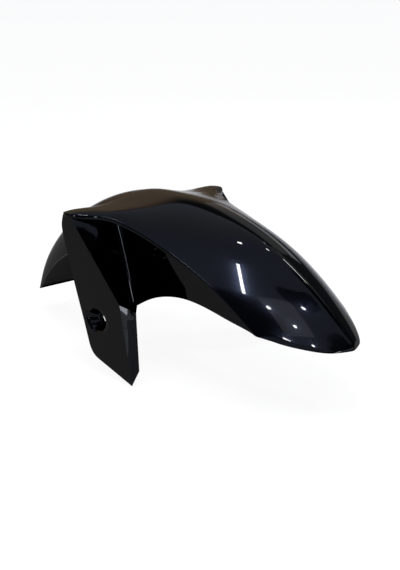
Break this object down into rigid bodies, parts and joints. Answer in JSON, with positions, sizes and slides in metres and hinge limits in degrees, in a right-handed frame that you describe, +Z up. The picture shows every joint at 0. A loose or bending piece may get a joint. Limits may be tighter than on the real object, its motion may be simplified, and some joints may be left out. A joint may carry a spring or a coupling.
{
  "type": "motorcycle front mudguard",
  "caption": "Gloss black one-piece front mudguard: ridged canopy over the wheel, narrowing tail, and fork shrouds hanging from its wings, each with a recessed bolt seat.",
  "frame": {"origin": "midway between the two fork bolts, on their common axis", "axes": "+X forward along the bike, +Y to the bike's left along the bolt axis, +Z up"},
  "size_m": [0.4965, 0.2322, 0.1819],
  "materials": {
    "shell": "gloss"
  },
  "bodies": {
    "root": {"front_mudguard": "shell"}
  },
  "joints": []
}
